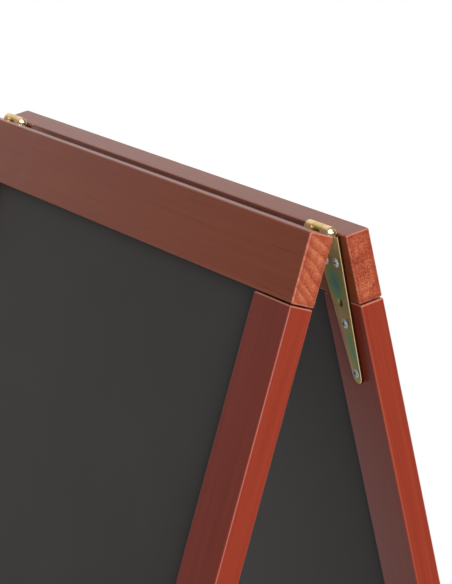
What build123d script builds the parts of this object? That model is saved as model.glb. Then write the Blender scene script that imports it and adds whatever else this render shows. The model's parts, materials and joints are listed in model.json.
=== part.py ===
from build123d import *
from math import cos, radians, sin, sqrt
import os

# Folding A-board chalkboard, open. Millimetres, +Z up, front towards -Y.
# The origin is on the floor, under the middle of the hinge line.

# Driving dimensions: frames
board_width = 550.0         # over the rail ends
leg_length = 850.0          # down the frame, from the rail's top edge to the floor
half_angle = 15.16          # lean of each frame from the vertical, degrees
timber = 17.5               # thickness of rails and stiles
rail_width = 47.5
stile_width = 48.5
stile_step = 0.5            # stiles stand this much further out than the rails
arris = 1.2                 # round-over on every timber edge
foot_length = 60.0          # stile left below the bottom rail
joint_gap = 1.1             # open joint between the top rail and each stile

# Driving dimensions: panel and dowels
panel_thickness = 4.0
panel_bite = 6.2            # panel edge held inside the timber
groove_slack = 0.2          # groove clearance on each side of the panel
groove_depth = 7.0
dowel_radius = 4.0
dowel_length = 40.0
dowel_spacing = 24.0
dowel_clearance = 0.03
dowel_chamfer = 1.0
dowel_end_gap = 1.0

# Driving dimensions: strap hinges
hinge_from_end = 24.6       # hinge centre to the rail end
leaf_thickness = 2.0
axis_from_wood = 4.0        # hinge axis off each frame's inner face
axis_above_rail = 2.0       # hinge axis above the rails' inner top edges, along the frame
barrel_radius = 3.5
barrel_length = 29.0
middle_knuckle_share = 0.39
knuckle_gap = 0.3
pin_radius = 1.5
pin_clearance = 0.05
pin_head_radius = 2.7
pin_head_height = 1.3
pin_head_dome = 0.8
strap_root_width = 32.7
strap_tip_width = 11.0
strap_tip_centre = 102.0    # from the rail's top edge to the centre of the rounded tip
strap_shoulder = 2.3        # where the strap starts beside the other leaf's knuckle
strap_turn = 2.1            # the straps are screwed on slightly askew, tips outwards, degrees
leaf_edge = 0.9             # softened rim of the strap
screw_pair_from_top = 21.0
screw_pair_offset = 6.7
single_screws_from_top = (64.8, 99.8)
spare_hole_from_top = 50.1
spare_countersink_radius = 2.9

# Driving dimensions: hinge screws
screw_head_radius = 3.5
screw_head_dome = 1.4
screw_shank_radius = 1.75
screw_length = 15.0
screw_tip = 3.0
leaf_hole_radius = 2.1
countersink_radius = 3.7
pilot_clearance = 0.05
recess_length = 3.8
recess_width = 0.9
recess_depth = 2.1
recess_taper = 10.0
screw_turn = 37.0           # each recess is turned this much from the one before, degrees

# Driving dimensions: restraint chains
eye_from_top_rear = 470.0
eye_from_top_front = 484.0  # staggered, so that the eyes pass when the frames close
eye_ring_radius = 3.0       # centre line
eye_wire_radius = 1.0
eye_shank_radius = 1.2
eye_shank_length = 10.0
link_wire_radius = 0.9
link_half_width = 2.6       # centre line
link_count = 21
link_slack = 0.15

# Worked out from the driving dimensions
lean = radians(half_angle)
frame_gap = 2 * (axis_from_wood * cos(lean) + axis_above_rail * sin(lean))
apex_height = leg_length * cos(lean) - timber / 2 * sin(lean)
axis_height = apex_height + axis_above_rail * cos(lean) - axis_from_wood * sin(lean)
stile_x = (board_width - stile_width) / 2
hinge_x = board_width / 2 - hinge_from_end
opening_half = board_width / 2 - stile_width
bottom_rail_top = leg_length - foot_length - rail_width
stile_top = rail_width + joint_gap
joint_middle = rail_width + joint_gap / 2
panel_depth = (timber - panel_thickness) / 2

front, rear = -1, 1
side_name = {front: "front", rear: "rear"}
hand_name = {-1: "left", 1: "right"}


def face_plane(side, depth=0.0):
    """Plane on a frame's inner face: +Y runs up the frame, +Z out through the timber."""
    start = Plane(
        origin=(0, side * frame_gap / 2, apex_height),
        x_dir=(-side, 0, 0),
        z_dir=(0, side * cos(lean), sin(lean)),
    )
    return start.offset(depth)


def inward_plane(side, x, from_top, depth=0.0):
    """Plane at a point of the inner face, looking in towards the other frame."""
    outer = face_plane(side, depth)
    point = outer.from_local_coords((-side * x, -from_top, 0))
    return Plane(origin=point, x_dir=(1, 0, 0), z_dir=outer.z_dir * -1)


def finish(builder, name):
    builder.part.label = name
    export_step(builder.part, f"parts/{name}.step")


def strap_plane(side, hand, depth=0.0):
    """Plane on the inner face that is turned with the strap, +Y up it, +Z out through the timber."""
    outer = face_plane(side, depth)
    turn = radians(-side * hand * strap_turn)
    return Plane(
        origin=outer.from_local_coords((-side * hand * hinge_x, 0, 0)),
        x_dir=outer.x_dir * cos(turn) + outer.y_dir * sin(turn),
        z_dir=outer.z_dir,
    )


def hinge_screw_points():
    """Screws on a strap: offset across it, and distance down it from the rail's top edge."""
    pair = [(offset, screw_pair_from_top) for offset in (-screw_pair_offset, screw_pair_offset)]
    return pair + [(0.0, distance) for distance in single_screws_from_top]


def strap_places(side, hand, points, depth=0.0):
    """Planes at points of a strap, looking in towards the other frame."""
    strap = strap_plane(side, hand, depth)
    return [
        Plane(
            origin=strap.from_local_coords((offset, -distance, 0)),
            x_dir=strap.x_dir * -1,
            z_dir=strap.z_dir * -1,
        )
        for offset, distance in points
    ]


def pilot_holes(side, hand, first, last):
    """Pilot holes of one hinge leaf between two distances from the top."""
    points = [point for point in hinge_screw_points() if first < point[1] < last]
    places = strap_places(side, hand, points)
    with Locations(*places):
        Cylinder(
            screw_shank_radius + pilot_clearance,
            2 * screw_length,
            mode=Mode.SUBTRACT,
        )


def end_dowel_places(side, hand):
    """Dowels that stand in the top of a stile, along the frame."""
    middle = face_plane(side, timber / 2)
    return [
        Plane(
            origin=middle.from_local_coords((-side * (hand * stile_x + shift), -joint_middle, 0)),
            x_dir=(1, 0, 0),
            z_dir=middle.y_dir,
        )
        for shift in (-dowel_spacing / 2, dowel_spacing / 2)
    ]


def cross_dowel_places(side, hand):
    """Dowels that lie between a stile and the bottom rail, along X."""
    middle = face_plane(side, timber / 2)
    centre = bottom_rail_top + rail_width / 2
    return [
        Plane(
            origin=middle.from_local_coords((-side * hand * opening_half, -centre + shift, 0)),
            x_dir=middle.y_dir,
            z_dir=(1, 0, 0),
        )
        for shift in (-dowel_spacing / 2, dowel_spacing / 2)
    ]


def dowel_holes(places):
    with Locations(*places):
        Cylinder(
            dowel_radius + dowel_clearance,
            dowel_length + 2 * dowel_end_gap,
            mode=Mode.SUBTRACT,
        )


def groove_sketch(side, top, bottom, half):
    """Groove for the panel, as a slab that the timber is cut back from."""
    slab = panel_thickness + 2 * groove_slack
    with BuildSketch(face_plane(side, panel_depth - groove_slack)) as outline:
        with Locations((0, -(top + bottom) / 2)):
            Rectangle(2 * half, bottom - top)
    extrude(outline.sketch, amount=slab, mode=Mode.SUBTRACT)


def panel_groove(side):
    groove_sketch(
        side,
        rail_width - groove_depth,
        bottom_rail_top + groove_depth,
        opening_half + groove_depth,
    )


def top_rail(side):
    name = f"{side_name[side]}_top_rail"
    with BuildPart() as rail:
        with BuildSketch(face_plane(side)):
            with Locations((0, -rail_width / 2)):
                Rectangle(board_width, rail_width)
        extrude(amount=timber)
        fillet(rail.edges(), radius=arris)
        panel_groove(side)
        for hand in (-1, 1):
            dowel_holes(end_dowel_places(side, hand))
            pilot_holes(side, hand, 0, rail_width)
    finish(rail, name)


def bottom_rail(side):
    name = f"{side_name[side]}_bottom_rail"
    with BuildPart() as rail:
        with BuildSketch(face_plane(side)):
            with Locations((0, -bottom_rail_top - rail_width / 2)):
                Rectangle(2 * opening_half, rail_width)
        extrude(amount=timber)
        fillet(rail.edges(), radius=arris)
        panel_groove(side)
        for hand in (-1, 1):
            dowel_holes(cross_dowel_places(side, hand))
    finish(rail, name)


def stile(side, hand):
    """A stile is cut parallel to the floor at its foot."""
    name = f"{side_name[side]}_{hand_name[hand]}_stile"
    overrun = timber
    length = leg_length + overrun - stile_top
    eye = eye_from_top_rear if side == rear else eye_from_top_front
    with BuildPart() as leg:
        with BuildSketch(face_plane(side, stile_step)):
            with Locations((-side * hand * stile_x, -stile_top - length / 2)):
                Rectangle(stile_width, length)
        extrude(amount=timber)
        split(bisect_by=Plane.XY, keep=Keep.TOP)
        fillet(leg.edges(), radius=arris)
        panel_groove(side)
        dowel_holes(end_dowel_places(side, hand))
        dowel_holes(cross_dowel_places(side, hand))
        pilot_holes(side, hand, rail_width, leg_length)
        with Locations(inward_plane(side, hand * stile_x, eye)):
            Cylinder(
                eye_shank_radius + pilot_clearance,
                2 * (eye_shank_length + stile_step + pilot_clearance),
                mode=Mode.SUBTRACT,
            )
    finish(leg, name)


def chalk_panel(side):
    name = f"{side_name[side]}_panel"
    top = rail_width - panel_bite
    bottom = bottom_rail_top + panel_bite
    with BuildPart() as panel:
        with BuildSketch(face_plane(side, panel_depth)):
            with Locations((0, -(top + bottom) / 2)):
                Rectangle(2 * (opening_half + panel_bite), bottom - top)
        extrude(amount=panel_thickness)
    finish(panel, name)


def dowels(side):
    name = f"{side_name[side]}_dowels"
    places = []
    for hand in (-1, 1):
        places += end_dowel_places(side, hand)
        places += cross_dowel_places(side, hand)
    with BuildPart() as pegs:
        with Locations(*places):
            Cylinder(dowel_radius, dowel_length)
        rims = pegs.edges().filter_by(GeomType.CIRCLE)
        chamfer(rims, length=dowel_chamfer)
    finish(pegs, name)


def knuckle_spans(side):
    """Start and length along the barrel: outer knuckles in front, the middle one at the rear."""
    solid = barrel_length - 2 * knuckle_gap
    middle = solid * middle_knuckle_share
    outer = (solid - middle) / 2
    if side == front:
        return [(0.0, outer), (barrel_length - outer, outer)]
    return [(outer + knuckle_gap, middle)]


def hinge_leaf(side, hand):
    name = f"{hand_name[hand]}_hinge_{side_name[side]}_leaf"
    x = hand * hinge_x
    barrel_start = x - barrel_length / 2
    root = strap_root_width / 2
    tip = strap_tip_width / 2
    reach = axis_above_rail + strap_shoulder + 2 * leaf_edge
    with BuildPart() as leaf:
        with BuildSketch(strap_plane(side, hand, -leaf_thickness)):
            with BuildLine():
                Polyline(
                    (-tip, -strap_tip_centre),
                    (-root, -strap_shoulder),
                    (root, -strap_shoulder),
                    (tip, -strap_tip_centre),
                )
                ThreePointArc(
                    (tip, -strap_tip_centre),
                    (0, -strap_tip_centre - tip),
                    (-tip, -strap_tip_centre),
                )
            make_face()
        extrude(amount=leaf_thickness)
        inner_face = leaf.faces().sort_by(Axis((0, 0, 0), face_plane(side).z_dir))[0]
        fillet(inner_face.edges(), radius=leaf_edge)
        for start, length in knuckle_spans(side):
            centre = -side * (barrel_start + start + length / 2)
            with BuildSketch(face_plane(side, -leaf_thickness)):
                with Locations((centre, axis_above_rail - reach / 2)):
                    Rectangle(length, reach)
            extrude(amount=leaf_thickness)
            with BuildSketch(Plane.YZ.offset(barrel_start + start)):
                with Locations((0, axis_height)):
                    Circle(barrel_radius)
            extrude(amount=length)
        with BuildSketch(Plane.YZ.offset(barrel_start - knuckle_gap)):
            with Locations((0, axis_height)):
                Circle(pin_radius + pin_clearance)
        extrude(amount=barrel_length + 2 * knuckle_gap, mode=Mode.SUBTRACT)
        with Locations(*strap_places(side, hand, hinge_screw_points(), -leaf_thickness)):
            CounterSinkHole(leaf_hole_radius, countersink_radius, depth=2 * leaf_thickness)
        with Locations(*strap_places(side, hand, [(0.0, spare_hole_from_top)], -leaf_thickness)):
            CounterSinkHole(leaf_hole_radius, spare_countersink_radius, depth=2 * leaf_thickness)
    finish(leaf, name)


def dome_drop(radius, height):
    """How far a round cap has fallen from its pole at half its radius."""
    ball = (radius**2 + height**2) / (2 * height)
    return ball - sqrt(ball**2 - (radius / 2) ** 2)


def hinge_pin(hand):
    """Pin with a low riveted dome at each end of the barrel."""
    name = f"{hand_name[hand]}_hinge_pin"
    half = barrel_length / 2 + knuckle_gap / 2
    end = half + pin_head_height
    rim = end - pin_head_dome
    cap = end - dome_drop(pin_head_radius, pin_head_dome)
    middle = Plane(origin=(hand * hinge_x, 0, axis_height), x_dir=(1, 0, 0), z_dir=(0, -1, 0))
    with BuildPart() as pin:
        with BuildSketch(middle):
            with BuildLine():
                Line((-end, 0), (end, 0))
                ThreePointArc((end, 0), (cap, pin_head_radius / 2), (rim, pin_head_radius))
                Polyline(
                    (rim, pin_head_radius),
                    (half, pin_head_radius),
                    (half, pin_radius),
                    (-half, pin_radius),
                    (-half, pin_head_radius),
                    (-rim, pin_head_radius),
                )
                ThreePointArc((-rim, pin_head_radius), (-cap, pin_head_radius / 2), (-end, 0))
            make_face()
        revolve(axis=Axis((0, 0, axis_height), (1, 0, 0)))
    finish(pin, name)


def screw_solid():
    """Raised countersunk wood screw with a cross recess, head up, face at Z = 0."""
    neck = screw_head_radius - screw_shank_radius
    cap = screw_head_dome - dome_drop(screw_head_radius, screw_head_dome)
    with BuildPart() as screw:
        with BuildSketch(Plane.XZ):
            with BuildLine():
                Polyline(
                    (0, screw_head_dome),
                    (0, -screw_length),
                    (screw_shank_radius, -screw_length + screw_tip),
                    (screw_shank_radius, -neck),
                    (screw_head_radius, 0),
                )
                ThreePointArc(
                    (screw_head_radius, 0),
                    (screw_head_radius / 2, cap),
                    (0, screw_head_dome),
                )
            make_face()
        revolve(axis=Axis.Z)
        with BuildSketch(Plane.XY.offset(screw_head_dome)):
            Rectangle(recess_length, recess_width)
            Rectangle(recess_width, recess_length)
        extrude(amount=-recess_depth, taper=recess_taper, mode=Mode.SUBTRACT)
    return screw.part


def hinge_screws(side, screw):
    name = f"{side_name[side]}_hinge_screws"
    turn = radians(screw_turn)
    with BuildPart() as group:
        for hand in (-1, 1):
            for place in strap_places(side, hand, hinge_screw_points(), -leaf_thickness):
                slot = place.x_dir * cos(turn) + place.y_dir * sin(turn)
                with Locations(Plane(origin=place.origin, x_dir=slot, z_dir=place.z_dir)):
                    add(screw)
                turn += radians(screw_turn)
    finish(group, name)


def eye_centre(side, hand):
    distance = eye_from_top_rear if side == rear else eye_from_top_front
    height = eye_ring_radius + eye_wire_radius - stile_step
    return inward_plane(side, hand * stile_x, distance, -height)


def chain_eyes(side):
    """Screw eyes with closed rings that stand in the Y-Z plane."""
    name = f"{side_name[side]}_chain_eyes"
    with BuildPart() as eyes:
        for hand in (-1, 1):
            centre = eye_centre(side, hand)
            with Locations(Plane(origin=centre.origin, x_dir=centre.z_dir, z_dir=(1, 0, 0))):
                Torus(eye_ring_radius, eye_wire_radius)
            with BuildSketch(centre.offset(-eye_ring_radius)):
                Circle(eye_shank_radius)
            extrude(amount=-(eye_shank_length + eye_wire_radius))
    finish(eyes, name)


def chain(hand):
    """Straight chain between the screw eyes, its links turned a quarter from one to the next."""
    name = f"{hand_name[hand]}_chain"
    first = eye_centre(rear, hand).origin
    last = eye_centre(front, hand).origin
    along = (last - first).normalized()
    inset = eye_ring_radius - eye_wire_radius - link_wire_radius - link_slack
    overlap = 2 * link_wire_radius + link_slack
    run = (last - first).length - 2 * inset
    pitch = (run - overlap) / link_count
    half = (pitch + overlap) / 2
    straight = half - link_half_width
    flat = Plane(origin=first, x_dir=along, z_dir=Vector(1, 0, 0).cross(along))
    upright = Plane(origin=first, x_dir=along, z_dir=(1, 0, 0))
    with BuildPart() as links:
        for number in range(link_count):
            base = upright if number % 2 else flat
            shift = inset + half + number * pitch
            place = Plane(origin=first + along * shift, x_dir=base.x_dir, z_dir=base.z_dir)
            link_loop(place, straight)
    finish(links, name)


def link_loop(place, straight):
    """One closed link: two straight runs and two half rings of round wire."""
    width = link_half_width
    with BuildLine(place) as path:
        Line((-straight, -width), (straight, -width))
        ThreePointArc((straight, -width), (straight + width, 0), (straight, width))
        Line((straight, width), (-straight, width))
        ThreePointArc((-straight, width), (-straight - width, 0), (-straight, -width))
    start = Plane(origin=path.line @ 0, z_dir=path.line % 0)
    with BuildSketch(start) as wire:
        Circle(link_wire_radius)
    sweep(wire.sketch, path=path.line)


def main():
    os.makedirs("parts", exist_ok=True)
    screw = screw_solid()
    for side in (front, rear):
        top_rail(side)
        bottom_rail(side)
        for hand in (-1, 1):
            stile(side, hand)
            hinge_leaf(side, hand)
        chalk_panel(side)
        dowels(side)
        hinge_screws(side, screw)
        chain_eyes(side)
    for hand in (-1, 1):
        hinge_pin(hand)
        chain(hand)
    print("hinge axis height", round(axis_height, 3), "frame gap", round(frame_gap, 3))


main()
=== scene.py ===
import json
import math
import bpy
import bmesh
from mathutils import Matrix, Vector, noise


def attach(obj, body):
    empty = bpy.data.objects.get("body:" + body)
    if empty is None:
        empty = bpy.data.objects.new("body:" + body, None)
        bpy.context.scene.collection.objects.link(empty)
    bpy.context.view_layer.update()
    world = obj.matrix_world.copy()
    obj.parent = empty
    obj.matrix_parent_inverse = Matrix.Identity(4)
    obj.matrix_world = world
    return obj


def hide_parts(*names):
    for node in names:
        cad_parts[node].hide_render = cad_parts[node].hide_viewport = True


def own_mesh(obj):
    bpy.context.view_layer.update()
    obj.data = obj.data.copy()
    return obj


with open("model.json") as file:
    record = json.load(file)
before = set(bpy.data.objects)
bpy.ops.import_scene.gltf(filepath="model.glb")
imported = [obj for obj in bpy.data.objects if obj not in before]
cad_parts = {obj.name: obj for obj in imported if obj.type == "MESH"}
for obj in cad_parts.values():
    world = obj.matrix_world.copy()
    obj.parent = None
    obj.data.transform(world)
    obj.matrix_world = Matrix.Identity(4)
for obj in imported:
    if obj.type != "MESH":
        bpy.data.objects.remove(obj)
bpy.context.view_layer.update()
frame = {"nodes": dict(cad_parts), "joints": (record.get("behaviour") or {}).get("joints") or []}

mm = 0.001

# The fold axis and its travel place everything: each frame leans half the travel from the vertical.
foldJoint = [joint for joint in frame["joints"] if joint["name"] == "fold"][0]
foldAxis = Vector(foldJoint["pos_m"])
lean = math.radians(foldJoint["range_deg"][1]) / 2

sides = {"front": 0.0, "rear": math.pi}
hands = {"left": -1, "right": 1}

timber = {
    "boardWidth": 550 * mm,
    "thickness": 17.5 * mm,
    "railWidth": 47.5 * mm,
    "stileWidth": 48.5 * mm,
    "stileStep": 0.5 * mm,
    "arris": 1.2 * mm,
    "arrisSegments": 5,
    "footLength": 60 * mm,
    "legLength": 850 * mm,
    "jointGap": 1.1 * mm,
    "grooveDepth": 7 * mm,
    "grooveWidth": 4.4 * mm,
    "cutEvery": 9 * mm,
    "faceWave": 0.05 * mm,
    "arrisWave": 0.16 * mm,
    "waveLength": 22 * mm,
    "nextLength": 1.7,        # each board's grain comes from further along the log
    "nextWidth": 13 * mm,     # and from a little to one side
    "nextWave": 7.3,
    # how much lighter stain colour each arris gets: a little wear, mostly a painted highlight on the
    # rounded edges
    "wearAndHighlightPlain": 0.15,
    "paintedHighlightByPanel": 0.5,       # edges round the panel: a painted highlight line along them
    "paintedHighlightTopCorner": 1.3,     # top edges at each board end: a bright painted highlight line along them
}
# how squarely a face must look along a direction to count as facing it
facing = {"flat": 0.995, "level": 0.999, "panel": 0.35, "upward": 0.2, "end": 0.45, "floor": 0.99}
panel = {"thickness": 4 * mm, "bite": 6.2 * mm, "edge": 0.4 * mm}
hinge = {
    "fromEnd": 24.6 * mm,
    "axisFromWood": 4 * mm,
    "axisAboveRail": 2 * mm,
    "strapShoulder": 2.3 * mm,
    "holes": [
        (-6.7 * mm, -21 * mm), (6.7 * mm, -21 * mm), (0, -50.1 * mm), (0, -64.8 * mm), (0, -99.8 * mm),
    ],
    "holeReach": 4.2 * mm,
    "strapTurn": 2.1,  # degrees, tips outwards
    "shoulderMargin": 0.5 * mm,
    "faceFrom": 0.98,  # a face this square to the strap is its flat, not its rim
    "rimFrom": 0.6,    # and under this it is the side wall, painted in shade
}
bottomRailTop = timber["legLength"] - timber["footLength"] - timber["railWidth"]
stileX = (timber["boardWidth"] - timber["stileWidth"]) / 2
openingHalf = timber["boardWidth"] / 2 - timber["stileWidth"]
stileOuter = timber["boardWidth"] / 2


def frameMatrix(side):
    # x across, y up along the frame, z out through the timber; the origin is on the rail's inner top edge
    up = Vector((0, math.sin(lean), math.cos(lean)))
    out = Vector((0, -math.cos(lean), math.sin(lean)))
    start = out * hinge["axisFromWood"] - up * hinge["axisAboveRail"]
    local = Matrix((
        (1, 0, 0, 0),
        (0, up.y, out.y, start.y),
        (0, up.z, out.z, start.z),
        (0, 0, 0, 1),
    ))
    centre = Matrix.Translation((0, 0, foldAxis.z))
    return centre @ Matrix.Rotation(sides[side], 4, "Z") @ local


def linearColour(hexCode, alpha=1.0):
    parts = [int(hexCode[i:i + 2], 16) / 255 for i in (1, 3, 5)]
    return [c / 12.92 if c <= 0.04045 else ((c + 0.055) / 1.055) ** 2.4 for c in parts] + [alpha]


def addNode(tree, kind, inputs=None, stops=(), **settings):
    node = tree.nodes.new(kind)
    for key, value in settings.items():
        setattr(node, key, value)
    for key, value in (inputs or {}).items():
        if isinstance(value, bpy.types.NodeSocket):
            tree.links.new(value, node.inputs[key])
        else:
            node.inputs[key].default_value = value
    if stops:
        ramp = node.color_ramp
        while len(ramp.elements) < len(stops):
            ramp.elements.new(0.5)
        for element, (position, hexCode) in zip(ramp.elements, stops):
            element.position = position
            element.color = linearColour(hexCode)
    return node


def newMaterial(name):
    material = bpy.data.materials.new(name)
    material.use_nodes = True
    tree = material.node_tree
    shader = tree.nodes["Principled BSDF"]
    return material, tree, shader


woodLook = {
    "ringSpacing": 6 * mm,
    "pith": (0, -44 * mm, 40 * mm),
    "ringWander": 3.5 * mm,
    "wanderScale": 14,
    "fibreWidth": 0.9 * mm,   # real fibres are far finer; they and the pores are drawn coarser to show
    "fibreLength": 90 * mm,
    "streakWidth": 5 * mm,
    "streakLength": 300 * mm,
    "mottleSize": 1.2 * mm,
    "poreSize": 0.6 * mm,
    "patchSize": 9 * mm,
    "railWarmth": (1.16, 1.75, 1.2, 1),  # rails took the stain browner than the stiles
    # lighter stain on the arrises, for a little wear and mostly for painted highlights on the rounded edges
    "wornAndHighlightColour": "#C07A64",
    "wornRoughness": 0.5,
    "soakedWidth": 3.5 * mm,
}


def woodPattern(tree):
    # growth rings are shells round a pith line that runs beside the board, so a face and an end agree
    grain = addNode(tree, "ShaderNodeAttribute", attribute_name="grain").outputs["Vector"]
    slow = addNode(tree, "ShaderNodeMapping", {"Vector": grain, "Scale": (0.12, 1, 1)}).outputs["Vector"]
    wander = addNode(
        tree, "ShaderNodeTexNoise", {"Vector": slow, "Scale": woodLook["wanderScale"], "Detail": 2.0}
    ).outputs["Color"]
    reach = 8 * woodLook["ringWander"]
    shift = addNode(
        tree, "ShaderNodeVectorMath", {0: wander, 1: (0, reach, reach), 2: (0, -reach / 2, -reach / 2)},
        operation="MULTIPLY_ADD",
    ).outputs["Vector"]
    moved = addNode(tree, "ShaderNodeVectorMath", {0: grain, 1: shift}, operation="ADD").outputs["Vector"]
    flat = addNode(
        tree, "ShaderNodeMapping",
        {"Vector": moved, "Location": [-p for p in woodLook["pith"]], "Scale": (0, 1, 1)},
    ).outputs["Vector"]
    radius = addNode(tree, "ShaderNodeVectorMath", {0: flat}, operation="LENGTH").outputs["Value"]
    turns = addNode(
        tree, "ShaderNodeMath", {0: radius, 1: 1 / woodLook["ringSpacing"]}, operation="MULTIPLY"
    ).outputs["Value"]
    saw = addNode(tree, "ShaderNodeMath", {0: turns}, operation="FRACT").outputs["Value"]
    ring = addNode(
        tree, "ShaderNodeValToRGB", {"Fac": saw},
        stops=[(0.0, "#000000"), (0.4, "#BCBCBC"), (0.8, "#FFFFFF"), (1.0, "#000000")],
    ).outputs["Color"]
    return grain, ring


def weightedSum(tree, terms, start):
    # adds each pattern's share to a starting value
    total = start
    for value, share in terms:
        total = addNode(
            tree, "ShaderNodeMath", {0: value, 1: share, 2: total}, operation="MULTIPLY_ADD"
        ).outputs["Value"]
    return total


def lengthwiseNoise(tree, vector, width, length):
    pulled = addNode(tree, "ShaderNodeMapping", {"Vector": vector, "Scale": (width / length, 1, 1)})
    return addNode(
        tree, "ShaderNodeTexNoise",
        {"Vector": pulled.outputs["Vector"], "Scale": 1 / width, "Detail": 3.0, "Roughness": 0.55},
    ).outputs["Fac"]


def stainedWood():
    # rubberwood, mahogany stain under satin lacquer: even red brown with faint lengthwise streaks
    material, tree, shader = newMaterial("stainedLacqueredWood")
    grain, ring = woodPattern(tree)
    fibre = lengthwiseNoise(tree, grain, woodLook["fibreWidth"], woodLook["fibreLength"])
    streak = lengthwiseNoise(tree, grain, woodLook["streakWidth"], woodLook["streakLength"])
    tone = weightedSum(tree, [(ring, 0.02), (fibre, 0.6), (streak, 0.4)], 0.0)
    colour = addNode(
        tree, "ShaderNodeValToRGB", {"Fac": tone},
        stops=[(0.15, "#6C2518"), (0.45, "#7E2D1D"), (0.7, "#883422"), (0.95, "#96402B")],
    ).outputs["Color"]
    tint = addNode(tree, "ShaderNodeAttribute", attribute_name="tint").outputs["Fac"]
    browner = addNode(
        tree, "ShaderNodeMix", {"Factor": tint, 6: colour, 7: woodLook["railWarmth"]}, data_type="RGBA",
        blend_type="MULTIPLY",
    ).outputs[2]
    # arris faces are lightened: a little wear, mostly a painted highlight along the rounded edges
    wornAndHighlight = addNode(tree, "ShaderNodeAttribute", attribute_name="arris").outputs["Fac"]
    patchy = addNode(tree, "ShaderNodeMath", {0: wornAndHighlight, 1: streak}, operation="MULTIPLY").outputs["Value"]
    edged = addNode(
        tree, "ShaderNodeMix", {"Factor": patchy, 6: browner, 7: linearColour(woodLook["wornAndHighlightColour"])},
        data_type="RGBA",
    ).outputs[2]
    tree.links.new(edged, shader.inputs["Base Color"])
    gloss = addNode(
        tree, "ShaderNodeMapRange", {"Value": fibre, "To Min": 0.24, "To Max": 0.36}
    ).outputs["Result"]
    dulled = addNode(
        tree, "ShaderNodeMath", {0: wornAndHighlight, 1: woodLook["wornRoughness"], 2: gloss}, operation="MULTIPLY_ADD"
    ).outputs["Value"]
    tree.links.new(dulled, shader.inputs["Roughness"])
    shader.inputs["IOR"].default_value = 1.48
    shader.inputs["Specular IOR Level"].default_value = 0.34
    relief = addNode(
        tree, "ShaderNodeBump", {"Height": fibre, "Strength": 0.22, "Distance": 0.05 * mm}
    ).outputs["Normal"]
    tree.links.new(relief, shader.inputs["Normal"])
    return material


def endGrainWood():
    # sawn ends drink the stain unevenly: orange brown, curved growth bands and a mottle of open pores
    material, tree, shader = newMaterial("stainedEndGrain")
    grain, ring = woodPattern(tree)
    mottle = addNode(
        tree, "ShaderNodeTexNoise",
        {"Vector": grain, "Scale": 1 / woodLook["mottleSize"], "Detail": 5.0, "Roughness": 0.68},
    ).outputs["Fac"]
    pore = addNode(
        tree, "ShaderNodeTexNoise", {"Vector": grain, "Scale": 1 / woodLook["poreSize"], "Detail": 1.0}
    ).outputs["Fac"]
    patch = addNode(
        tree, "ShaderNodeTexNoise", {"Vector": grain, "Scale": 1 / woodLook["patchSize"], "Detail": 2.0}
    ).outputs["Fac"]
    bands = addNode(tree, "ShaderNodeAttribute", attribute_name="bands").outputs["Fac"]
    banded = addNode(tree, "ShaderNodeMath", {0: ring, 1: bands}, operation="MULTIPLY").outputs["Value"]
    calm = addNode(
        tree, "ShaderNodeMapRange", {"Value": bands, "To Min": 1.0, "To Max": 0.62}
    ).outputs["Result"]
    speck = weightedSum(tree, [(mottle, 1.7), (patch, 0.9)], -1.3)
    calmed = addNode(tree, "ShaderNodeMath", {0: speck, 1: calm}, operation="MULTIPLY").outputs["Value"]
    tone = weightedSum(tree, [(banded, 0.3), (calmed, 1.0), (pore, 0.5)], 0.14)
    colour = addNode(
        tree, "ShaderNodeValToRGB", {"Fac": tone},
        stops=[(0.1, "#642014"), (0.3, "#8A371F"), (0.55, "#9A4C2D"), (0.85, "#B26A4E")],
    ).outputs["Color"]
    rim = addNode(tree, "ShaderNodeAttribute", attribute_name="soaked").outputs["Fac"]
    uneven = addNode(tree, "ShaderNodeMath", {0: rim, 1: mottle}, operation="MULTIPLY").outputs["Value"]
    redder = addNode(
        tree, "ShaderNodeMix", {"Factor": uneven, 6: colour, 7: linearColour("#742015")}, data_type="RGBA"
    ).outputs[2]
    # arris faces are lightened: a little wear, mostly a painted highlight along the rounded edges
    wornAndHighlight = addNode(tree, "ShaderNodeAttribute", attribute_name="arris").outputs["Fac"]
    patchy = addNode(tree, "ShaderNodeMath", {0: wornAndHighlight, 1: mottle}, operation="MULTIPLY").outputs["Value"]
    edged = addNode(
        tree, "ShaderNodeMix", {"Factor": patchy, 6: redder, 7: linearColour(woodLook["wornAndHighlightColour"])},
        data_type="RGBA",
    ).outputs[2]
    tree.links.new(edged, shader.inputs["Base Color"])
    rough = addNode(
        tree, "ShaderNodeMapRange", {"Value": mottle, "To Min": 0.35, "To Max": 0.6}
    ).outputs["Result"]
    tree.links.new(rough, shader.inputs["Roughness"])
    shader.inputs["IOR"].default_value = 1.48
    shader.inputs["Specular IOR Level"].default_value = 0.3
    relief = addNode(
        tree, "ShaderNodeBump", {"Height": pore, "Strength": 0.5, "Distance": 0.1 * mm}
    ).outputs["Normal"]
    tree.links.new(relief, shader.inputs["Normal"])
    return material


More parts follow.
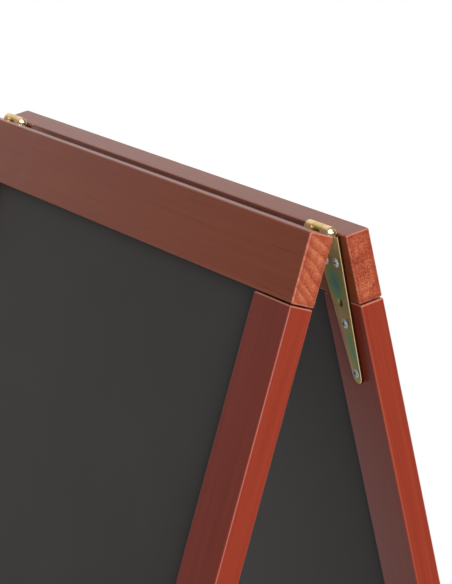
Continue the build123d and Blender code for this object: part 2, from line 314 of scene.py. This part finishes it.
def chalkPaint():
    # blackboard paint rolled on hardboard: matt warm grey, faint hand-sized clouds of old chalk, and a
    # fine orange peel
    material, tree, shader = newMaterial("chalkboardPaint")
    place = addNode(tree, "ShaderNodeTexCoord").outputs["Object"]
    cloud = addNode(
        tree, "ShaderNodeTexNoise", {"Vector": place, "Scale": 9.0, "Detail": 5.0, "Roughness": 0.62}
    ).outputs["Fac"]
    grit = addNode(
        tree, "ShaderNodeTexNoise", {"Vector": place, "Scale": 1 / (0.9 * mm), "Detail": 2.0}
    ).outputs["Fac"]
    colour = addNode(
        tree, "ShaderNodeValToRGB", {"Fac": cloud}, stops=[(0.3, "#353230"), (0.7, "#3E3B39")]
    ).outputs["Color"]
    tree.links.new(colour, shader.inputs["Base Color"])
    rough = addNode(
        tree, "ShaderNodeMapRange", {"Value": cloud, "To Min": 0.52, "To Max": 0.62}
    ).outputs["Result"]
    tree.links.new(rough, shader.inputs["Roughness"])
    shader.inputs["Specular IOR Level"].default_value = 0.35
    relief = addNode(
        tree, "ShaderNodeBump", {"Height": grit, "Strength": 0.35, "Distance": 0.04 * mm}
    ).outputs["Normal"]
    tree.links.new(relief, shader.inputs["Normal"])
    return material


zincLook = {
    "driftSize": 16 * mm,
    "grainSize": 1.4 * mm,         # real plating grain is too fine to show, so it is drawn coarser
    "tealAt": (0, -37 * mm),       # the film is thickest in the middle of the strap
    "tealSize": (14 * mm, 20 * mm),
    "greenAt": (-2 * mm, -82 * mm),
    "greenSize": (8 * mm, 24 * mm),
    "warmAt": (8 * mm, -76 * mm),  # and thin along one edge lower down
    "warmSize": (6 * mm, 34 * mm),
    "teal": 0.62, "green": 0.36, "warm": -0.35, "drift": 0.4, "fine": 0.12,  # each one's share of the film
    "thinnest": -0.03,
    "rimHighlightMetal": 0.35,  # the rim's painted highlight is pale and less metallic
    "rimHighlightColour": "#E6C896",
    # painted shade colour for the strap's side wall
    "sideWallShadeColour": "#4A3622",
}


def filmPatch(tree, place, centre, size):
    # an oval where the passivate film is thick, full in the middle and gone at its rim
    inOval = addNode(
        tree, "ShaderNodeMapping",
        {"Vector": place, "Location": (-centre[0] / size[0], -centre[1] / size[1], 0),
         "Scale": (1 / size[0], 1 / size[1], 0)},
    ).outputs["Vector"]
    reach = addNode(tree, "ShaderNodeVectorMath", {0: inOval}, operation="LENGTH").outputs["Value"]
    return addNode(
        tree, "ShaderNodeMapRange",
        {"Value": reach, "From Min": 0.0, "From Max": 1.0, "To Min": 1.0, "To Max": 0.0},
        interpolation_type="SMOOTHSTEP",
    ).outputs["Result"]


def yellowZinc(name, stops, hasRimHighlight=True):
    # pressed steel, zinc plated and yellow passivated: olive gold, drifting to teal where the film is thick
    material, tree, shader = newMaterial(name)
    look = zincLook
    place = addNode(tree, "ShaderNodeAttribute", attribute_name="strap").outputs["Vector"]
    drift = addNode(
        tree, "ShaderNodeTexNoise", {"Vector": place, "Scale": 1 / look["driftSize"], "Detail": 1.0}
    ).outputs["Fac"]
    fine = addNode(
        tree, "ShaderNodeTexNoise", {"Vector": place, "Scale": 1 / look["grainSize"], "Detail": 3.0}
    ).outputs["Fac"]
    teal = filmPatch(tree, place, look["tealAt"], look["tealSize"])
    green = filmPatch(tree, place, look["greenAt"], look["greenSize"])
    warm = filmPatch(tree, place, look["warmAt"], look["warmSize"])
    film = weightedSum(
        tree,
        [(teal, look["teal"]), (green, look["green"]), (warm, look["warm"]), (drift, look["drift"]),
         (fine, look["fine"])],
        look["thinnest"],
    )
    colour = addNode(tree, "ShaderNodeValToRGB", {"Fac": film}, stops=stops).outputs["Color"]
    shader.inputs["Metallic"].default_value = 1.0
    # painted highlight on the rounded rim and painted shade on the side wall, from face attributes
    if hasRimHighlight:
        rim = addNode(tree, "ShaderNodeAttribute", attribute_name="rim").outputs["Fac"]
        colour = addNode(
            tree, "ShaderNodeMix", {"Factor": rim, 6: colour, 7: linearColour(look["rimHighlightColour"])},
            data_type="RGBA",
        ).outputs[2]
        cut = addNode(tree, "ShaderNodeAttribute", attribute_name="cut").outputs["Fac"]
        colour = addNode(
            tree, "ShaderNodeMix", {"Factor": cut, 6: colour, 7: linearColour(look["sideWallShadeColour"])},
            data_type="RGBA",
        ).outputs[2]
        metal = addNode(
            tree, "ShaderNodeMapRange", {"Value": rim, "To Min": 1.0, "To Max": look["rimHighlightMetal"]}
        ).outputs["Result"]
        tree.links.new(metal, shader.inputs["Metallic"])
    tree.links.new(colour, shader.inputs["Base Color"])
    rough = addNode(
        tree, "ShaderNodeMapRange", {"Value": fine, "To Min": 0.28, "To Max": 0.4}
    ).outputs["Result"]
    tree.links.new(rough, shader.inputs["Roughness"])
    relief = addNode(
        tree, "ShaderNodeBump", {"Height": fine, "Strength": 0.15, "Distance": 0.05 * mm}
    ).outputs["Normal"]
    tree.links.new(relief, shader.inputs["Normal"])
    return material


def brightZinc():
    # clear passivated zinc on steel: bluish bright metal with soft plating bloom, in spots about 1.4 mm
    # across, coarser than the real ones so that they show
    material, tree, shader = newMaterial("brightZincPlate")
    place = addNode(tree, "ShaderNodeTexCoord").outputs["Object"]
    bloom = addNode(
        tree, "ShaderNodeTexNoise", {"Vector": place, "Scale": 700.0, "Detail": 3.0}
    ).outputs["Fac"]
    colour = addNode(
        tree, "ShaderNodeValToRGB", {"Fac": bloom}, stops=[(0.3, "#B0BAC4"), (0.7, "#DFE4E8")]
    ).outputs["Color"]
    # painted shade inside each screw's cross recess
    recessShadeMask = addNode(tree, "ShaderNodeAttribute", attribute_name="recessShade").outputs["Fac"]
    shaded = addNode(
        tree, "ShaderNodeMix", {"Factor": recessShadeMask, 6: colour, 7: linearColour("#25282C")}, data_type="RGBA"
    ).outputs[2]
    tree.links.new(shaded, shader.inputs["Base Color"])
    shader.inputs["Metallic"].default_value = 0.62  # a chalky bloom of zinc salts scatters the rest
    rough = addNode(
        tree, "ShaderNodeMapRange", {"Value": bloom, "To Min": 0.2, "To Max": 0.36}
    ).outputs["Result"]
    tree.links.new(rough, shader.inputs["Roughness"])
    return material


def dowelInJointShade():
    # turned beech dowel, painted dark brown as the shade inside the open joint where it shows
    material, tree, shader = newMaterial("beechDowelJointShade")
    place = addNode(tree, "ShaderNodeTexCoord").outputs["Object"]
    fleck = addNode(
        tree, "ShaderNodeTexNoise",
        {"Vector": place, "Scale": 1 / (1.1 * mm), "Detail": 4.0, "Roughness": 0.7},
    ).outputs["Fac"]
    colour = addNode(
        tree, "ShaderNodeValToRGB", {"Fac": fleck}, stops=[(0.35, "#2E1811"), (0.65, "#4A2A1C")]
    ).outputs["Color"]
    tree.links.new(colour, shader.inputs["Base Color"])
    shader.inputs["Roughness"].default_value = 0.75
    return material


stainedFace = stainedWood()
stainedEnd = endGrainWood()
chalkboard = chalkPaint()
oliveZinc = yellowZinc("oliveYellowPassivatedZinc", [
    (0.06, "#E89C86"), (0.2, "#EDC47C"), (0.36, "#CCC874"),
    (0.54, "#A6C88E"), (0.74, "#86BE9E"), (0.92, "#70AAB0"),
])
goldZinc = yellowZinc("goldYellowPassivatedZinc", [
    (0.1, "#F8C8A4"), (0.3, "#F4D698"), (0.5, "#DCD088"), (0.74, "#A6C298"), (0.92, "#72A8B4"),
])
palePassivated = yellowZinc(
    "paleYellowPassivatedZinc", [(0.1, "#F0E4CC"), (0.4, "#E3DCB4"), (0.9, "#D2D4AE")], hasRimHighlight=False
)
zincPlate = brightZinc()
jointShadeDowel = dowelInJointShade()
print("materials made")


def finishPiece(bm, name, body, node, materials):
    mesh = bpy.data.meshes.new(name)
    for face in bm.faces:
        face.smooth = True
    bm.to_mesh(mesh)
    bm.free()
    for material in materials:
        mesh.materials.append(material)
    piece = bpy.data.objects.new(name, mesh)
    bpy.context.scene.collection.objects.link(piece)
    even = piece.modifiers.new("evenNormals", "WEIGHTED_NORMAL")
    even.keep_sharp = True
    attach(piece, body)
    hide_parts(node)
    return piece


def cutLoops(bm, matrix, axis, places):
    # planes across one of the board's own axes, which leave rows of vertices to shape
    direction = (matrix.to_3x3() @ axis).normalized()
    for place in places:
        bmesh.ops.bisect_plane(
            bm, geom=bm.verts[:] + bm.edges[:] + bm.faces[:],
            plane_co=matrix @ (axis * place), plane_no=direction,
        )


def cutGroove(bm, matrix, inward, edgeAt, start, end, along):
    # groove for the panel: sink the strip of faces between its two lips
    middle = timber["thickness"] / 2
    half = timber["grooveWidth"] / 2
    cutLoops(bm, matrix, Vector((0, 0, 1)), (middle - half, middle + half))
    cutLoops(bm, matrix, along, (start, end))
    toLocal = matrix.inverted()
    strip = []
    for face in bm.faces:
        centre = toLocal @ face.calc_center_median()
        onEdge = abs(centre.dot(inward) - edgeAt) < 0.1 * mm
        if onEdge and abs(centre.z - middle) < half and start < centre.dot(along) < end:
            strip.append(face)
    pushed = bmesh.ops.extrude_face_region(bm, geom=strip)["geom"]
    moving = [item for item in pushed if isinstance(item, bmesh.types.BMVert)]
    bmesh.ops.delete(bm, geom=strip, context="FACES")
    bmesh.ops.translate(bm, verts=moving, vec=(matrix.to_3x3() @ inward) * -timber["grooveDepth"])


def makeBoard(side, name, centre, size, along, groove, number, tint, bands):
    # one length of planed timber: round arrises, panel groove, and the slight waves of hand sanding
    matrix = frameMatrix(side)
    bm = bmesh.new()
    bmesh.ops.create_cube(bm, size=1.0)
    bmesh.ops.scale(bm, vec=size, verts=bm.verts)
    bmesh.ops.translate(bm, vec=centre, verts=bm.verts)
    bmesh.ops.transform(bm, matrix=matrix, verts=bm.verts)
    if min(vert.co.z for vert in bm.verts) < 0:
        cut = bmesh.ops.bisect_plane(
            bm, geom=bm.verts[:] + bm.edges[:] + bm.faces[:],
            plane_co=(0, 0, 0), plane_no=(0, 0, 1), clear_inner=True,
        )["geom_cut"]
        bmesh.ops.contextual_create(bm, geom=[e for e in cut if isinstance(e, bmesh.types.BMEdge)])
    bmesh.ops.recalc_face_normals(bm, faces=bm.faces)
    bmesh.ops.bevel(
        bm, geom=bm.edges[:], offset=timber["arris"], offset_type="OFFSET", affect="EDGES",
        segments=timber["arrisSegments"], profile=0.5, material=-1,
    )
    for inward, edgeAt, start, end, grooveAlong in groove:
        cutGroove(bm, matrix, inward, edgeAt, start, end, grooveAlong)
    half = abs(Vector(size).dot(along)) / 2
    middle = Vector(centre).dot(along)
    count = int(2 * half / timber["cutEvery"])
    rows = [middle - half + (i + 0.5) * 2 * half / count for i in range(count)]
    cutLoops(bm, matrix, along, rows)
    bm.normal_update()
    grain = bm.verts.layers.float_vector.new("grain")
    soaked = bm.verts.layers.float.new("soaked")
    arris = bm.faces.layers.float.new("arris")
    tintLayer = bm.faces.layers.float.new("tint")
    bandLayer = bm.faces.layers.float.new("bands")
    across = Vector((0, 1, 0)) if along.x else Vector((1, 0, 0))
    boardAxes = [matrix.to_3x3() @ axis for axis in (along, across, Vector((0, 0, 1)))]
    toPanel = matrix.to_3x3() @ groove[0][0]
    # the arris weight sets how much painted highlight, with a little wear, each rounded edge gets
    for face in bm.faces:
        square = max(abs(face.normal.dot(axis)) for axis in boardAxes)
        face[arris] = 0.0
        if square < facing["flat"] and abs(face.normal.z) < facing["level"]:
            face[arris] = timber["wearAndHighlightPlain"]
            if face.normal.dot(toPanel) > facing["panel"]:
                face[arris] = timber["paintedHighlightByPanel"]
            if abs(face.normal.dot(boardAxes[0])) > facing["panel"] and face.normal.z > facing["upward"]:
                face[arris] = timber["paintedHighlightTopCorner"]
        face[tintLayer] = tint
        face[bandLayer] = bands
        atEnd = abs(face.normal.dot(boardAxes[0])) > facing["end"] or face.normal.z < -facing["floor"]
        face.material_index = 1 if atEnd else 0
    rounded = {vert for face in bm.faces if face[arris] for vert in face.verts}
    ends = [face for face in bm.faces if face.material_index == 1 and not face[arris]]
    for vert in {vert for face in ends for vert in face.verts}:
        vert[soaked] = 1.0
    bmesh.ops.inset_region(bm, faces=ends, thickness=woodLook["soakedWidth"], use_even_offset=True)
    for vert in {vert for face in ends for vert in face.verts}:
        vert[soaked] = 0.0
    toLocal = matrix.inverted()
    for vert in bm.verts:
        local = toLocal @ vert.co - Vector(centre)
        vert[grain] = (
            local.dot(along) + timber["nextLength"] * number,
            local.dot(across) + timber["nextWidth"] * (number % 3), local.z,
        )
    for vert in bm.verts:
        spot = vert.co / timber["waveLength"] + Vector((number * timber["nextWave"], 0, 0))
        depth = timber["arrisWave"] if vert in rounded else timber["faceWave"]
        vert.co -= vert.normal * depth * max(0.0, noise.noise(spot))
    finishPiece(
        bm, f"{side}_{name}_planed", f"{side}_frame", f"{side}_{name}",
        [stainedFace, stainedEnd],
    )


alongX, alongY, outward = Vector((1, 0, 0)), Vector((0, 1, 0)), Vector((0, 0, 1))
grooveReach = openingHalf + timber["grooveDepth"]
grooveBottom = -bottomRailTop - timber["grooveDepth"]


def makeFrame(side, first, bands):
    t = timber
    railSize = (t["boardWidth"], t["railWidth"], t["thickness"])
    railMiddle = (0, -t["railWidth"] / 2, t["thickness"] / 2)
    railGroove = (-alongY, t["railWidth"], -grooveReach, grooveReach, alongX)
    makeBoard(side, "top_rail", railMiddle, railSize, alongX, [railGroove], first, 1.0, bands)
    lowSize = (2 * openingHalf, t["railWidth"], t["thickness"])
    lowMiddle = (0, -bottomRailTop - t["railWidth"] / 2, t["thickness"] / 2)
    lowGroove = (alongY, -bottomRailTop, -grooveReach, grooveReach, alongX)
    makeBoard(side, "bottom_rail", lowMiddle, lowSize, alongX, [lowGroove], first + 1, 0.8, bands)
    stileTop = t["railWidth"] + t["jointGap"]
    length = t["legLength"] + t["thickness"] - stileTop  # overruns the floor, and is cut off there
    size = (t["stileWidth"], length, t["thickness"])
    turned = -1 if sides[side] else 1
    for hand, sign in hands.items():
        x = sign * turned * stileX
        inward = alongX * (-1 if x > 0 else 1)
        middle = (x, -stileTop - length / 2, t["stileStep"] + t["thickness"] / 2)
        groove = (inward, -openingHalf, grooveBottom, -stileTop, alongY)
        makeBoard(side, f"{hand}_stile", middle, size, alongY, [groove], first + 2 + (sign > 0), 0.0, bands)


makeFrame("front", 1, 1.0)
makeFrame("rear", 6, 0.15)  # this pair of rails was cut where the rings hardly show
print("frames made")


def makePanel(side):
    matrix = frameMatrix(side)
    top = -timber["railWidth"] + panel["bite"]
    bottom = -bottomRailTop - panel["bite"]
    width = 2 * (openingHalf + panel["bite"])
    bm = bmesh.new()
    bmesh.ops.create_cube(bm, size=1.0)
    bmesh.ops.scale(bm, vec=(width, top - bottom, panel["thickness"]), verts=bm.verts)
    bmesh.ops.translate(bm, vec=(0, (top + bottom) / 2, timber["thickness"] / 2), verts=bm.verts)
    bmesh.ops.transform(bm, matrix=matrix, verts=bm.verts)
    bmesh.ops.recalc_face_normals(bm, faces=bm.faces)
    bmesh.ops.bevel(bm, geom=bm.edges[:], offset=panel["edge"], offset_type="OFFSET", affect="EDGES",
                    segments=2, profile=0.5, material=-1)
    finishPiece(bm, f"{side}_panel_painted", f"{side}_frame", f"{side}_panel", [chalkboard])


for side in sides:
    makePanel(side)
print("panels made")


chainLook = {
    "links": 21,
    "wire": 0.9 * mm,
    "halfWidth": 2.6 * mm,
    "slack": 0.15 * mm,
    "ringRadius": 3 * mm,
    "ringWire": 1 * mm,
    "rearEye": 470 * mm,
    "frontEye": 484 * mm,
    "wireSides": 10,
    "bendSteps": 10,
    "bunched": 0.004,                     # share of its reach left between the closed frames
    "aside": {"front": 0.16, "rear": 0},  # the front half folds in past the rear eye
}


def eyeCentre(side, hand):
    turned = -1 if sides[side] else 1
    depth = chainLook["ringRadius"] + chainLook["ringWire"] - timber["stileStep"]
    distance = chainLook["frontEye"] if side == "front" else chainLook["rearEye"]
    return frameMatrix(side) @ Vector((turned * hands[hand] * stileX, -distance, -depth))


def addLink(bm, matrix, straight):
    # bent wire: out along one side, round the end, back along the other side and round again
    width = chainLook["halfWidth"]
    section = bmesh.ops.create_circle(
        bm, cap_ends=False, radius=chainLook["wire"], segments=chainLook["wireSides"]
    )
    ring = section["verts"]
    bmesh.ops.rotate(bm, verts=ring, cent=(0, 0, 0), matrix=Matrix.Rotation(math.pi / 2, 3, "Y"))
    bmesh.ops.translate(bm, verts=ring, vec=(-straight, -width, 0))
    loop = [edge for edge in bm.edges if all(v in ring for v in edge.verts)]
    made = list(ring)
    for centreX, step in ((straight, 1), (-straight, -1)):
        run = bmesh.ops.extrude_edge_only(bm, edges=loop)["geom"]
        moved = [g for g in run if isinstance(g, bmesh.types.BMVert)]
        loop = [g for g in run if isinstance(g, bmesh.types.BMEdge)]
        bmesh.ops.translate(bm, verts=moved, vec=(2 * straight * step, 0, 0))
        made += moved
        bend = bmesh.ops.spin(
            bm, geom=loop, cent=(centreX, 0, 0), axis=(0, 0, 1), angle=math.pi,
            steps=chainLook["bendSteps"], use_duplicate=False,
        )["geom_last"]
        loop = [g for g in bend if isinstance(g, bmesh.types.BMEdge)]
    fresh = [vert for vert in bm.verts if not vert.tag]
    bmesh.ops.transform(bm, matrix=matrix, verts=fresh)
    for vert in fresh:
        vert.tag = True


def makeChain(hand):
    # each half of the chain goes with its own eye's frame
    c = chainLook
    first, last = eyeCentre("rear", hand), eyeCentre("front", hand)
    along = (last - first).normalized()
    inset = c["ringRadius"] - c["ringWire"] - c["wire"] - c["slack"]
    overlap = 2 * c["wire"] + c["slack"]
    pitch = ((last - first).length - 2 * inset - overlap) / c["links"]
    half = (pitch + overlap) / 2
    middle = c["links"] // 2
    halves = {"rear": (first, range(middle)), "front": (last, range(middle, c["links"]))}
    for side, (eye, numbers) in halves.items():
        bm = bmesh.new()
        for number in numbers:
            sideways = alongX if number % 2 == 0 else along.cross(alongX)
            place = Matrix.Translation(first + along * (inset + half + number * pitch))
            turn = Matrix((along, sideways, along.cross(sideways))).transposed().to_4x4()
            addLink(bm, place @ turn, half - c["halfWidth"])
        bmesh.ops.remove_doubles(bm, verts=bm.verts, dist=0.01 * mm)
        bmesh.ops.recalc_face_normals(bm, faces=bm.faces)
        piece = finishPiece(
            bm, f"{hand}_chain_{side}_half", f"{side}_frame", f"{hand}_chain", [zincPlate]
        )
        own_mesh(piece)


for hand in hands:
    makeChain(hand)
print("chains made")


plated = {"sharpFrom": 32, "mergeWithin": 0.002 * mm, "recessFloor": -1.9 * mm, "recessWall": 0.6}


def strapCoordinates(node):
    # x across the strap and y up it, from where the hinge's middle meets the rail's inner top edge
    hand = node.split("_")[0]
    side = "front" if "front" in node else "rear"
    turned = -1 if sides[side] else 1
    origin = Matrix.Translation((turned * hands[hand] * (stileOuter - hinge["fromEnd"]), 0, 0))
    turn = Matrix.Rotation(math.radians(turned * hands[hand] * hinge["strapTurn"]), 4, "Z")
    return (frameMatrix(side) @ origin @ turn).inverted()


def markRimHighlightAndWallShade(bm, toStrap):
    # painted highlight on the strap's rounded rim, and painted shade on its side wall
    rim = bm.faces.layers.float.new("rim")
    cut = bm.faces.layers.float.new("cut")
    turn = toStrap.to_3x3()
    bm.normal_update()
    for face in bm.faces:
        centre = toStrap @ face.calc_center_median()
        outward = turn @ face.normal
        byHole = min((centre.xy - Vector(hole)).length for hole in hinge["holes"]) < hinge["holeReach"]
        if centre.y < -hinge["strapShoulder"] + hinge["shoulderMargin"] and not byHole:
            square = abs(outward.z)
            face[cut] = 1.0 if square < hinge["rimFrom"] else 0.0
            face[rim] = 1.0 if hinge["rimFrom"] <= square < hinge["faceFrom"] else 0.0


def markRecessShade(bm, side):
    # painted shade darkens the cross recess and its steep walls on each screw
    recessShade = bm.faces.layers.float.new("recessShade")
    toFrame = frameMatrix(side).inverted()
    turn = toFrame.to_3x3()
    bm.normal_update()
    for face in bm.faces:
        steep = abs((turn @ face.normal).z) < plated["recessWall"]
        sunk = (toFrame @ face.calc_center_median()).z > plated["recessFloor"]
        face[recessShade] = 1.0 if steep or sunk else 0.0


def makePlated(node, body, material):
    # the solid's own shape, with its rolled and pressed faces shaded smooth between true edges
    bm = bmesh.new()
    bm.from_mesh(frame["nodes"][node].data)
    bmesh.ops.remove_doubles(bm, verts=bm.verts, dist=plated["mergeWithin"])
    limit = math.radians(plated["sharpFrom"])
    for edge in bm.edges:
        edge.smooth = edge.calc_face_angle(0.0) < limit
    if "hinge_" in node and "screws" not in node:
        toStrap = strapCoordinates(node)
        strap = bm.verts.layers.float_vector.new("strap")
        for vert in bm.verts:
            vert[strap] = toStrap @ vert.co
        markRimHighlightAndWallShade(bm, toStrap)
    if "screws" in node:
        markRecessShade(bm, node.split("_")[0])
    finishPiece(bm, f"{node}_plated", body, node, [material])


for side in sides:
    for hand in hands:
        leafZinc = goldZinc if side == "front" else oliveZinc
        makePlated(f"{hand}_hinge_{side}_leaf", f"{side}_frame", leafZinc)
    makePlated(f"{side}_hinge_screws", f"{side}_frame", zincPlate)
    makePlated(f"{side}_chain_eyes", f"{side}_frame", zincPlate)
for hand in hands:
    makePlated(f"{hand}_hinge_pin", "rear_frame", palePassivated)
print("hinges, screws and eyes made")

nodeFinish = {
    "_leaf": oliveZinc, "_pin": palePassivated, "_screws": zincPlate, "_eyes": zincPlate, "_dowels": jointShadeDowel,
    "_chain": zincPlate, "_panel": chalkboard, "_rail": stainedFace, "_stile": stainedFace,
}
for name, node in frame["nodes"].items():
    finish = [material for ending, material in nodeFinish.items() if name.endswith(ending)][0]
    node.data.materials.clear()
    node.data.materials.append(finish)
print("finishes set")


studio = {
    "floorSolid": 0.6,
    "floorEnds": 1.15,
    "aimOut": 80.7 * mm,
    "aimBelowAxis": 30.9 * mm,
    "distance": 1594.7 * mm,
    "azimuth": 62.073,
    "elevation": 12.077,
    "roll": 1.628,
    "lens": 157.66,
}


def makeFloor():
    # matt paper floor, pale grey under the board and fading into the white surroundings
    material, tree, shader = newMaterial("paleFloor")
    place = addNode(tree, "ShaderNodeTexCoord").outputs["Object"]
    reach = addNode(tree, "ShaderNodeVectorMath", {0: place}, operation="LENGTH").outputs["Value"]
    share = addNode(
        tree, "ShaderNodeMapRange",
        {"Value": reach, "From Min": studio["floorSolid"], "From Max": studio["floorEnds"]},
        interpolation_type="SMOOTHSTEP",
    ).outputs["Result"]
    cloud = addNode(tree, "ShaderNodeTexNoise", {"Vector": place, "Scale": 3.0}).outputs["Fac"]
    colour = addNode(
        tree, "ShaderNodeValToRGB", {"Fac": cloud}, stops=[(0.3, "#D4D4D3"), (0.7, "#DADAD9")]
    ).outputs["Color"]
    tree.links.new(colour, shader.inputs["Base Color"])
    shader.inputs["Roughness"].default_value = 0.9
    clear = addNode(tree, "ShaderNodeBsdfTransparent").outputs["BSDF"]
    faded = addNode(tree, "ShaderNodeMixShader", {0: share, 1: shader.outputs["BSDF"], 2: clear})
    tree.links.new(faded.outputs["Shader"], tree.nodes["Material Output"].inputs["Surface"])
    bm = bmesh.new()
    bmesh.ops.create_grid(bm, x_segments=4, y_segments=4, size=studio["floorEnds"])
    mesh = bpy.data.meshes.new("floor")
    bm.to_mesh(mesh)
    bm.free()
    mesh.materials.append(material)
    floor = bpy.data.objects.new("floor", mesh)
    bpy.context.scene.collection.objects.link(floor)


def makeCamera():
    azimuth, elevation = math.radians(studio["azimuth"]), math.radians(studio["elevation"])
    back = Vector((
        math.sin(azimuth) * math.cos(elevation),
        -math.cos(azimuth) * math.cos(elevation),
        math.sin(elevation),
    ))
    level = Vector((0, 0, 1)).cross(back).normalized()
    upright = back.cross(level)
    roll = math.radians(studio["roll"])
    right = level * math.cos(roll) + upright * math.sin(roll)
    up = upright * math.cos(roll) - level * math.sin(roll)
    aim = Vector((timber["boardWidth"] / 2, -studio["aimOut"], foldAxis.z - studio["aimBelowAxis"]))
    data = bpy.data.cameras.new("camera")
    data.lens = studio["lens"]
    data.clip_end = 200.0
    camera = bpy.data.objects.new("camera", data)
    turn = Matrix((right, up, back)).transposed().to_4x4()
    camera.matrix_world = Matrix.Translation(aim + back * studio["distance"]) @ turn
    bpy.context.scene.collection.objects.link(camera)
    bpy.context.scene.camera = camera


lights = {
    "wall": 0.95,                 # bright wall behind the board and to its left
    "room": 0.06,                 # dim room in front of it and to its right
    "frontEdge": (-0.53, -0.3),   # where the wall starts, going back
    "rightEdge": (0.7, 0.1),      # and going left
    "sunStrength": 4.6,
    "sunDegrees": 34,
    "sunFrom": (0.96, -0.24, 0.15),
}


def makeLights():
    scene = bpy.context.scene
    world = bpy.data.worlds.new("studio")
    scene.world = world
    world.use_nodes = True
    tree = world.node_tree
    place = addNode(tree, "ShaderNodeTexCoord").outputs["Generated"]
    split = addNode(tree, "ShaderNodeSeparateXYZ", {"Vector": place})
    behind, leftward = [
        addNode(
            tree, "ShaderNodeMapRange",
            {"Value": split.outputs[axis], "From Min": edge[0], "From Max": edge[1]},
            interpolation_type="SMOOTHSTEP",
        ).outputs["Result"]
        for axis, edge in (("Y", lights["frontEdge"]), ("X", lights["rightEdge"]))
    ]
    both = addNode(tree, "ShaderNodeMath", {0: behind, 1: leftward}, operation="MULTIPLY").outputs["Value"]
    wall = addNode(
        tree, "ShaderNodeMapRange", {"Value": both, "To Min": lights["room"], "To Max": lights["wall"]}
    ).outputs["Result"]
    seen = addNode(tree, "ShaderNodeLightPath").outputs["Is Camera Ray"]
    strength = addNode(
        tree, "ShaderNodeMix", {"Factor": seen, 2: wall, 3: 1.0}, data_type="FLOAT"
    ).outputs[0]
    back = tree.nodes["Background"]
    back.inputs["Color"].default_value = (1, 1, 1, 1)
    tree.links.new(strength, back.inputs["Strength"])
    sun = bpy.data.lights.new("keyWindow", "SUN")
    sun.energy = lights["sunStrength"]
    sun.angle = math.radians(lights["sunDegrees"])
    lamp = bpy.data.objects.new("keyWindow", sun)
    lamp.rotation_euler = Vector(lights["sunFrom"]).to_track_quat("Z", "Y").to_euler()
    scene.collection.objects.link(lamp)
    scene.view_settings.view_transform = "Standard"
    scene.view_settings.look = "None"


makeFloor()
makeCamera()
makeLights()
print("studio set")
